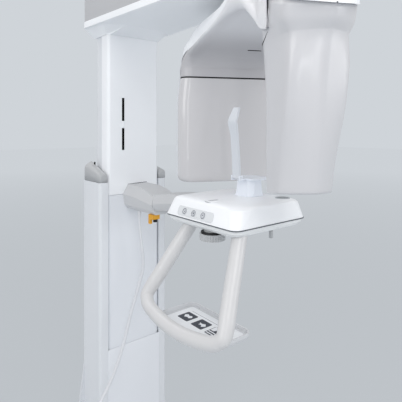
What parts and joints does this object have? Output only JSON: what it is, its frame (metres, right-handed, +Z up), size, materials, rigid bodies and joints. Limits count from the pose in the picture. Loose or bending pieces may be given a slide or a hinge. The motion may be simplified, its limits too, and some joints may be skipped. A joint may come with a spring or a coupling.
{
  "type": "ct scanner",
  "caption": "Floor-standing dental cone beam scanner: lift column, overhead arm with a rotating C-shaped gantry, chin rest table with hand grip and item tray.",
  "frame": {"origin": "centre of the four floor anchors, on the floor", "axes": "+Z up, -Y along the overhead arm towards the turning axis, +X the side where the patient stands, facing -X"},
  "size_m": [0.9315, 1.4262, 2.123],
  "materials": {
    "steel_white": "satin powder coat",
    "profile_white": "white powder coat",
    "cover_white": "satin white",
    "cover_grey": "satin mid grey",
    "cap_grey": "satin grey",
    "limb_grey": "pale grey, low gloss",
    "panel_grey": "grey, glossy",
    "casting_grey": "light grey paint",
    "bare_alu": "plain",
    "dark_steel": "dark",
    "board_green": "circuit board",
    "slot_black": "matt black",
    "belt_black": "matt",
    "grip_white": "smooth white coat",
    "stop_yellow": "satin yellow",
    "stop_black": "satin",
    "overlay_grey": "film, satin",
    "key_white": "satin",
    "socket_grey": "satin",
    "knob_grey": "satin",
    "screw_metal": "satin",
    "card_white": "printed film",
    "rest_white": "satin",
    "cord_grey": "light grey"
  },
  "bodies": {
    "stand": {"base_plate": "steel_white", "fixed_stand": "profile_white", "post_caps": "cap_grey", "lower_front_cover": "cover_white", "guide_mast": "bare_alu", "guide_rails": "dark_steel", "lift_motor": "dark_steel", "lift_drive_tube": "bare_alu", "cable": "cord_grey", "cord_coil": "cord_grey", "hand_switch": "rest_white"},
    "column": {"column_core": "profile_white", "upper_front_cover": "cover_white", "lower_column_cover": "cover_white", "slot_insert": "slot_black", "guide_blocks": "dark_steel", "lift_push_tube": "bare_alu", "neck_collar": "cover_white", "arm_frame": "bare_alu", "arm_lower_shell": "cover_white", "arm_side_cover": "cover_grey", "arm_top_cover": "cover_white", "arm_rails": "dark_steel", "control_unit": "board_green", "support_bracket": "casting_grey", "support_arm": "casting_grey", "stop_housing": "stop_yellow", "cord_gland": "cord_grey", "table_frame": "bare_alu", "table_top": "cover_white", "table_underside": "cover_grey", "button_panel": "overlay_grey", "table_sockets": "socket_grey", "grip_frame": "grip_white", "item_tray": "cover_white", "tray_card": "card_white"},
    "carriage": {"carriage_plate": "bare_alu", "bearing_ring": "dark_steel", "turn_motor": "dark_steel", "drive_belt": "belt_black"},
    "pulley": {"drive_pulley": "bare_alu"},
    "gantry": {"turntable": "bare_alu", "gantry_frame": "bare_alu", "beam_cover": "cover_white", "beam_underside": "cover_grey", "tube_cover": "limb_grey", "tube_head": "dark_steel", "collimator": "bare_alu", "detector_cover": "cover_white", "detector_panel": "panel_grey", "detector_sensor": "slot_black"},
    "stop_key": {"stop_button": "stop_black"},
    "key_1": {"button_1": "key_white"},
    "key_2": {"button_2": "key_white"},
    "key_3": {"button_3": "key_white"},
    "knob": {"adjusting_knob": "knob_grey"},
    "clamp": {"clamp_screw": "screw_metal"},
    "chin": {"chin_rest": "rest_white"},
    "forehead": {"forehead_support": "rest_white"},
    "thumb_key": {"switch_button": "knob_grey"}
  },
  "joints": [
    {"name": "lift", "type": "slide", "parent": "stand", "child": "column", "axis": [0, 0, 1], "range_m": [-0.42, 0.28], "deforming": ["cable"]},
    {"name": "carriage_slide", "type": "slide", "parent": "column", "child": "carriage", "axis": [0, 1, 0], "range_m": [-0.045, 0.045]},
    {"name": "gantry_turn", "type": "hinge", "parent": "carriage", "child": "gantry", "pos_m": [0, -0.85, 1.94], "axis": [0, 0, 1], "range_deg": [-200, 160]},
    {"name": "pulley_spin", "type": "hinge", "parent": "carriage", "child": "pulley", "pos_m": [0, -0.74, 1.975], "axis": [0, 0, 1], "range_deg": [-920, 735]},
    {"name": "stop_press", "type": "slide", "parent": "column", "child": "stop_key", "axis": [0, 0, 1], "range_m": [0, 0.004], "stiffness_N_per_m": 900},
    {"name": "button_press_1", "type": "slide", "parent": "column", "child": "key_1", "axis": [0.9445, 0, -0.3285], "range_m": [0, 0.0012], "stiffness_N_per_m": 800},
    {"name": "button_press_2", "type": "slide", "parent": "column", "child": "key_2", "axis": [0.9445, 0, -0.3285], "range_m": [0, 0.0012], "stiffness_N_per_m": 800},
    {"name": "button_press_3", "type": "slide", "parent": "column", "child": "key_3", "axis": [0.9445, 0, -0.3285], "range_m": [0, 0.0012], "stiffness_N_per_m": 800},
    {"name": "knob_turn", "type": "hinge", "parent": "column", "child": "knob", "pos_m": [-0.182, -0.856, 1.19], "axis": [0, 0, 1], "range_deg": [-170, 170]},
    {"name": "clamp_turn", "type": "hinge", "parent": "column", "child": "clamp", "pos_m": [-0.023, -0.936, 1.19], "axis": [0, 0, 1], "range_deg": [-180, 180]},
    {"name": "chin_lift", "type": "slide", "parent": "column", "child": "chin", "axis": [0, 0, 1], "range_m": [0, 0.06]},
    {"name": "forehead_tilt", "type": "hinge", "parent": "chin", "child": "forehead", "pos_m": [-0.08, -0.85, 1.354], "axis": [0, 1, 0], "range_deg": [-12, 8]},
    {"name": "thumb_press", "type": "slide", "parent": "stand", "child": "thumb_key", "axis": [1, 0, 0], "range_m": [0, 0.0025], "stiffness_N_per_m": 800}
  ],
  "couplings": [
    {"joint": "pulley_spin", "follows": "gantry_turn", "ratio": 4.5833}
  ]
}
